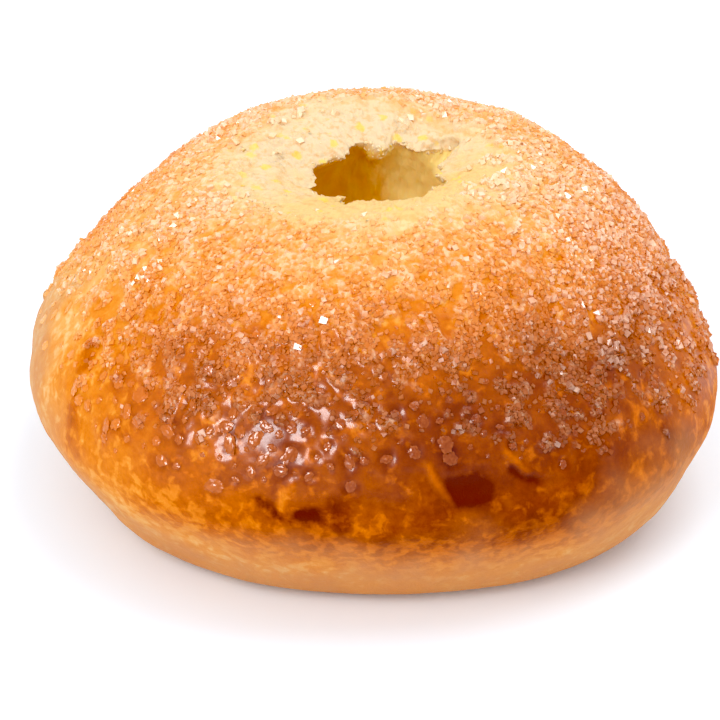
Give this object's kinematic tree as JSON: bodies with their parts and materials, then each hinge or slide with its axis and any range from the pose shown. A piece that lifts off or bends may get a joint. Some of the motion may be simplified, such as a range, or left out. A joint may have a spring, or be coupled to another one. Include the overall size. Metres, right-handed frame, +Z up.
{
  "type": "butter eye bun",
  "caption": "Round sugared sweet bun with a glazed crust and a torn eye in its top that opens into a smooth hollow left by melted butter.",
  "frame": {"origin": "middle of the bun's box on the surface that it rests on", "axes": "+Z up through the eye; -Y is the front, the side of the glossy dark glaze with its two caramel spots; +X is to the right of that front"},
  "size_m": [0.1044, 0.1058, 0.053],
  "materials": {
    "crust": "satin",
    "crumb": "matte",
    "sugar": "gloss"
  },
  "bodies": {
    "root": {"bun": "crust"}
  },
  "joints": []
}
